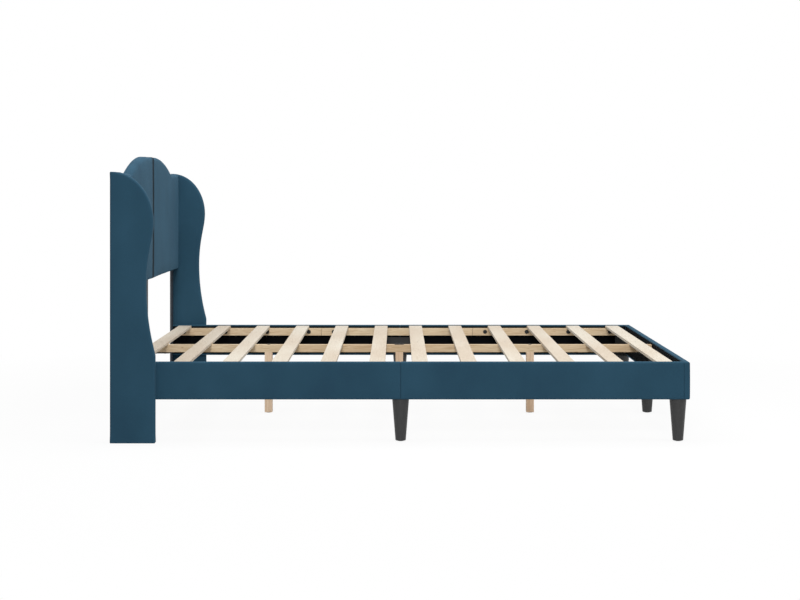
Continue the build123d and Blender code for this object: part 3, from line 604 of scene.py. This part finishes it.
def headboard_corners(inset, corner):
    """One half of the headboard, with u outwards from the middle seam and v up."""
    seam, outer, crest = SOFT_GAP + inset, RAIL_OUTER_Y - inset, CREST - inset
    notch_u, notch_v = NOTCH[0] - inset, NOTCH[1] - inset
    across, drop = notch_u - CREST_HALF, crest - notch_v
    arc = (across ** 2 + drop ** 2) / (2 * drop)
    corners = [(seam, PAD_LOW + inset, corner), (outer, PAD_LOW + inset, corner),
               (outer, SHOULDER - inset, corner), (notch_u, notch_v, NOTCH_RADIUS)]
    for u in np.linspace(notch_u, CREST_HALF, 41)[2:]:
        corners.append((u, crest - arc + math.sqrt(arc ** 2 - (u - CREST_HALF) ** 2), 0))
    return corners + [(seam, crest, corner)]


def leg_cutters(place, back, front):
    """Room for the legs at one half's outer end and at the middle seam."""
    overrun = 10
    outlines = [rectangle(middle - LEG_HALF, PAD_LOW - overrun, middle + LEG_HALF, LEG_TOP)
                for middle in (0, SIDE_LEG_Y)]
    return [slab("leg", rounded_path(outline, PLAIN), back, front, place) for outline in outlines]


def puff(piece, held, most):
    """Lets a Cloth simulation with pressure swell the skin between its held points.
    The movement is scaled so that no point moves further than the most, in millimetres."""
    group = piece.vertex_groups.new(name="held")
    group.add([int(i) for i in np.flatnonzero(held)], 1.0, "REPLACE")
    start = np.array([v.co for v in piece.data.vertices])
    frames, quality, pressure = 20, 6, 4.0
    cloth = piece.modifiers.new("swell", "CLOTH")
    cloth.settings.quality = quality
    cloth.settings.use_pressure = True
    cloth.settings.uniform_pressure_force = pressure
    cloth.settings.vertex_group_mass = "held"
    cloth.settings.effector_weights.gravity = 0.0
    cloth.point_cache.frame_end = frames
    for number in range(1, frames + 1):
        bpy.context.scene.frame_set(number)
    swollen = baked(piece)
    piece.modifiers.clear()
    piece.vertex_groups.clear()
    bpy.context.scene.frame_set(1)
    moved = np.array([v.co for v in swollen.vertices]) - start
    moved *= most * MM / np.linalg.norm(moved, axis=1).max()
    piece.data.vertices.foreach_set("co", (start + moved).ravel())
    bpy.data.meshes.remove(swollen)


def headboard_pad(side_name, side):
    corner = 11
    path = rounded_path(headboard_corners(0, corner), PAD_STEP)
    # The rolled edge widens along the top, and tightens along the bottom and the outer end
    roll_radius, top_gain, edge_loss = 9.5, 6.5, 3.0
    top_band, end_start, end_reach, edge_band, edge_reach = 12, 10, 60, 26, 20
    on_top = path[:, 1] > SHOULDER - top_band
    from_ends = np.minimum(path[:, 0] - SOFT_GAP, RAIL_OUTER_Y - path[:, 0])
    wide = np.where(on_top, np.clip((from_ends - end_start) / end_reach, 0, 1), 0)
    in_band = np.maximum(PAD_LOW + edge_band - path[:, 1], path[:, 0] - RAIL_OUTER_Y + edge_band)
    tight = np.where(on_top, 0, np.clip(in_band / edge_reach, 0, 1))
    radii = roll_radius + top_gain * eased(wide) - edge_loss * eased(tight)

    slack, seam_drop, seam_reach, crown, half_height = 1.6, 2.0, 15, np.array([1.5, 1.3]), 250
    middle = np.array([RAIL_OUTER_Y / 2, (CREST + PAD_LOW) / 2])
    half = np.array([RAIL_OUTER_Y / 2, half_height])

    def front(points):
        fall = ((points - middle) / half) ** 2 @ crown
        return (PAD_FRONT_X - slack - fall - seam_drop * np.exp(-points[:, 0] / seam_reach)
                + 0.45 * ripple(points, 160, 4.3 + side) + 0.15 * ripple(points, 55, 7.9 + side))

    def place(u, v, depth):
        return depth, side * u, v

    normals = outward(path)
    pocket_wall, back_edge, pocket_spacing, most_swell = 4.7, 1.2, 60, 3.0
    pocket = path - normals * pocket_wall
    rings = [(pocket, BOARD_FRONT_X), (pocket, BOARD_BACK_X), (path - normals * back_edge, BOARD_BACK_X),
             (path, BOARD_BACK_X + back_edge)] + roll(path, radii, front, True)
    mesh = skin("pad", rings, (flat_at(BOARD_FRONT_X), pocket_spacing), (front, PAD_SPACING), place)
    piece = add_piece(f"headboard_velvet_{side_name}", mesh, seam_shade_painted_velvet)
    x, y, _ = np.array([v.co for v in mesh.vertices]).T / MM
    board_margin, end_margin, seam_margin = 0.1, 1.5, 2
    held = (x < BOARD_FRONT_X + board_margin) | (abs(y) > RAIL_OUTER_Y - end_margin)
    held |= abs(y) < seam_margin
    puff(piece, held, most_swell)
    cut(piece, leg_cutters(place, LINING_BACK_X - 1, LEG_FRONT_X + SOFT_GAP))
    dress(piece, [f"headboard_pad_{side_name}"])


def headboard_lining(side_name, side):
    margin, corner, step, staple_inset, leg_clearance = 12, 6, 30, 7, 8
    level = LINING_BACK_X + 0.15
    path = rounded_path(headboard_corners(margin, corner), step)

    def place(u, v, depth):
        return depth, side * u, v

    def between_legs(clearance):
        return LEG_HALF + clearance, SIDE_LEG_Y - LEG_HALF - clearance

    mesh = cloth("lining", path, level, 1.7, place)
    piece = add_piece(f"headboard_lining_{side_name}", mesh, lining)
    cut(piece, leg_cutters(place, LINING_BACK_X - 1, BOARD_BACK_X + 1))
    dress(piece, ["headboard_back_lining"])
    near, far = between_legs(0)

    row = path - outward(path) * staple_inset
    near, far = between_legs(leg_clearance)
    clear = (row[:, 1] > LEG_TOP + leg_clearance) | ((row[:, 0] > near) & (row[:, 0] < far))
    staples(f"headboard_staples_{side_name}", row, clear, level, place, "headboard_back_lining")


# Rails

def rail_rings(path, normals, length, corner, end_radius, edge_radius, level, rising):
    """Quarter round whose radius differs between a rail's ends and its long edges."""
    shares = np.abs(normals)
    radii = end_radius * shares[:, 0] ** 2 + edge_radius * shares[:, 1] ** 2
    rings = []
    for angle in np.radians([0, 15, 30, 45, 60, 75, 90]):
        inset = 1 - math.cos(angle)
        flat = rail_ring(path, normals, length, corner, inset * end_radius, inset * edge_radius)
        drop = radii * (1 - math.sin(angle))
        rings.append((flat, level(flat) - drop if rising else level(flat) + drop))
    return rings if rising else rings[::-1]


def rail_ring(path, normals, length, corner, end_inset, edge_inset):
    """The rail's rounded outline, drawn in by one distance at its ends and by another at its long edges."""
    left_over = max(corner - min(end_inset, edge_inset), 0)
    flat = path - normals * (corner - left_over)
    return np.clip(flat, (end_inset, edge_inset), (length - end_inset, RAIL_HEIGHT - edge_inset))


def rail_cover(name, length, end_wall, end_radius, seed, place, holes=()):
    corner = end_radius
    path = rounded_path(rectangle(0, 0, length, RAIL_HEIGHT, corner), RAIL_STEP)
    normals = outward(path)
    slack, crown, unevenness, wave = 0.7, 0.6, 0.2, 150

    def outer(points):
        across = points[:, 1] / RAIL_HEIGHT * 2 - 1
        return RAIL_THICKNESS - slack + crown * (1 - across ** 2) + unevenness * ripple(points, wave, seed)

    inner_end_radius, inner_edge_radius, outer_edge_radius, pocket_spacing = 1, 2.5, 6, 200
    pocket = rail_ring(path, normals, length, corner, end_wall, RAIL_EDGE_WALL)
    lip = rail_ring(path, normals, length, corner, end_wall, RAIL_LIP)
    rings = [(pocket, RAIL_BOARD_FACE), (pocket, RAIL_RETURN), (lip, RAIL_RETURN), (lip, 0)]
    rings += rail_rings(path, normals, length, corner, inner_end_radius, inner_edge_radius, flat_at(0), False)
    rings += rail_rings(path, normals, length, corner, end_radius, outer_edge_radius, outer, True)
    mesh = skin("rail", rings, (flat_at(RAIL_BOARD_FACE), pocket_spacing), (outer, RAIL_SPACING), place)
    piece = add_piece(f"{name}_velvet", mesh, velvet)
    overruns = RAIL_BOARD_FACE - 1, RAIL_THICKNESS + 2
    cut(piece, [slab("bolt", circle(middle, BOLT_HOLE_RADIUS), *overruns, place) for middle in holes])
    dress(piece, [name.replace("rail", "rail_cover", 1)])

    gap, level, step, staple_inset = 0.2, 0.5, 20, 6
    cut_length, cut_height = length - 2 * end_wall - 2 * gap, RAIL_HEIGHT - 2 * RAIL_LIP - 2 * gap
    low_u, low_v = end_wall + gap, RAIL_LIP + gap
    sheet = rounded_path(rectangle(low_u, low_v, low_u + cut_length, low_v + cut_height), step)
    strip = add_piece(f"{name}_lining", cloth("lining", sheet, level, seed, place), lining)
    dress(strip, ["rail_linings"])
    row = rounded_path(rectangle(low_u + staple_inset, low_v + staple_inset,
                                 low_u + cut_length - staple_inset, low_v + cut_height - staple_inset), step)
    staples(f"{name}_staples", row, np.full(len(row), True), level, place, "rail_linings")


# The pieces that are made here

for side_name, side in (("left", -1), ("right", 1)):
    wing_cover(side_name, side)
    headboard_pad(side_name, side)
    headboard_lining(side_name, side)
    for half_name, start, end in (("head", LEG_FRONT_X, 0.0), ("foot", 0.0, FOOT_INNER_X)):
        holes = [(x - start, z - RAIL_LOW) for x, z in WING_BOLTS] if half_name == "head" else []
        rail_cover(f"side_rail_{side_name}_{half_name}", end - start, SIDE_END_WALL, SIDE_END_RADIUS,
                   5.1 * side + start / 1000,
                   lambda u, v, depth: (start + u, side * (RAIL_INNER_Y + depth), RAIL_LOW + v), holes)
rail_cover("foot_rail", 2 * RAIL_OUTER_Y, FOOT_END_WALL, FOOT_END_RADIUS, 8.6,
           lambda u, v, depth: (FOOT_INNER_X + depth, u - RAIL_OUTER_Y, RAIL_LOW + v))


# Floor, light and camera

def seen_ray(tree):
    """1 for camera, mirror and glass rays, and 0 for the rays that carry light."""
    rays = node(tree, "ShaderNodeLightPath").outputs
    first = node(tree, "ShaderNodeMath", {0: rays["Is Camera Ray"], 1: rays["Is Glossy Ray"]},
                 operation="MAXIMUM")
    return node(tree, "ShaderNodeMath", {0: first.outputs[0], 1: rays["Is Transmission Ray"]},
                operation="MAXIMUM").outputs[0]


def area_light(name, place, aim, width, depth, watts):
    lamp = bpy.data.lights.new(name, "AREA")
    lamp.shape, lamp.size, lamp.size_y, lamp.energy = "RECTANGLE", width, depth, watts
    holder = bpy.data.objects.new(name, lamp)
    holder.location = place
    holder.rotation_euler = (Vector(aim) - Vector(place)).to_track_quat("-Z", "Y").to_euler()
    bpy.context.scene.collection.objects.link(holder)


world = bpy.data.worlds.new("studio")
bpy.context.scene.world = world
world.use_nodes = True
world.node_tree.nodes.clear()
strength = node(world.node_tree, "ShaderNodeMapRange",
                {"Value": seen_ray(world.node_tree), "To Min": 0.3, "To Max": 1.0})
backdrop = node(world.node_tree, "ShaderNodeBackground", {"Strength": strength.outputs[0]})
backdrop.inputs["Color"].default_value = linear("#FFFFFF")
node(world.node_tree, "ShaderNodeOutputWorld", {"Surface": backdrop.outputs[0]})

# The floor glows nearly white for what sees it, and wholly far out. Its plain share near the bed keeps a
# faint shadow, and it throws back little light, so that the lower edges are dark as in the photo
floor_material = bpy.data.materials.new("white_studio_floor")
floor_material.use_nodes = True
tree = floor_material.node_tree
tree.nodes.clear()
seen = seen_ray(tree)
spot = node(tree, "ShaderNodeTexCoord").outputs["Object"]
away = node(tree, "ShaderNodeVectorMath", {0: spot}, operation="LENGTH")
share = node(tree, "ShaderNodeMapRange", {"Value": away.outputs["Value"], "From Min": 1.3, "From Max": 3.0,
                                          "To Min": 0.9, "To Max": 1.0})
glow = node(tree, "ShaderNodeMath", {0: seen, 1: share.outputs[0]}, operation="MULTIPLY")
paint = mix_colours(tree, seen, linear("#B0B0B0"), linear("#F2F2F2"))
plain = node(tree, "ShaderNodeBsdfDiffuse", {"Color": paint})
glowing = node(tree, "ShaderNodeEmission", {"Color": linear("#FFFFFF"), "Strength": 1.0})
mixed = node(tree, "ShaderNodeMixShader", {0: glow.outputs[0], 1: plain.outputs[0], 2: glowing.outputs[0]})
node(tree, "ShaderNodeOutputMaterial", {"Surface": mixed.outputs[0]})
floor_mesh = bpy.data.meshes.new("floor")
floor_half, floor_z = 14, -0.001
floor_corners = [(x * floor_half, y * floor_half, floor_z) for x, y in ((-1, -1), (1, -1), (1, 1), (-1, 1))]
floor_mesh.from_pydata(floor_corners, [], [(0, 1, 2, 3)])
floor = add_piece("floor", floor_mesh, floor_material)

area_light("overhead", place=(-0.1, -0.3, 3.4), aim=(-0.1, 0, 0.3), width=4.4, depth=2.8, watts=98)
area_light("foot_side", place=(4.2, -1.8, 2.4), aim=(0, 0, 0.5), width=2.4, depth=2.0, watts=50)
area_light("front", place=(-0.3, -8.8, 4.3), aim=(0, 0, 0.35), width=1.7, depth=1.2, watts=348)

# The photo's own view, worked out from edges that are parallel on the bed
lens = bpy.data.cameras.new("photo_view")
lens.lens, lens.shift_x, lens.shift_y = 75.4, 0.00325, -0.148
camera = bpy.data.objects.new("photo_view", lens)
camera.location = (-0.0118, -6.891, 0.9483)
camera.rotation_euler = (math.pi / 2, 0, 0)
bpy.context.scene.collection.objects.link(camera)
bpy.context.scene.camera = camera
bpy.context.scene.view_settings.view_transform = "Standard"

bpy.context.view_layer.update()
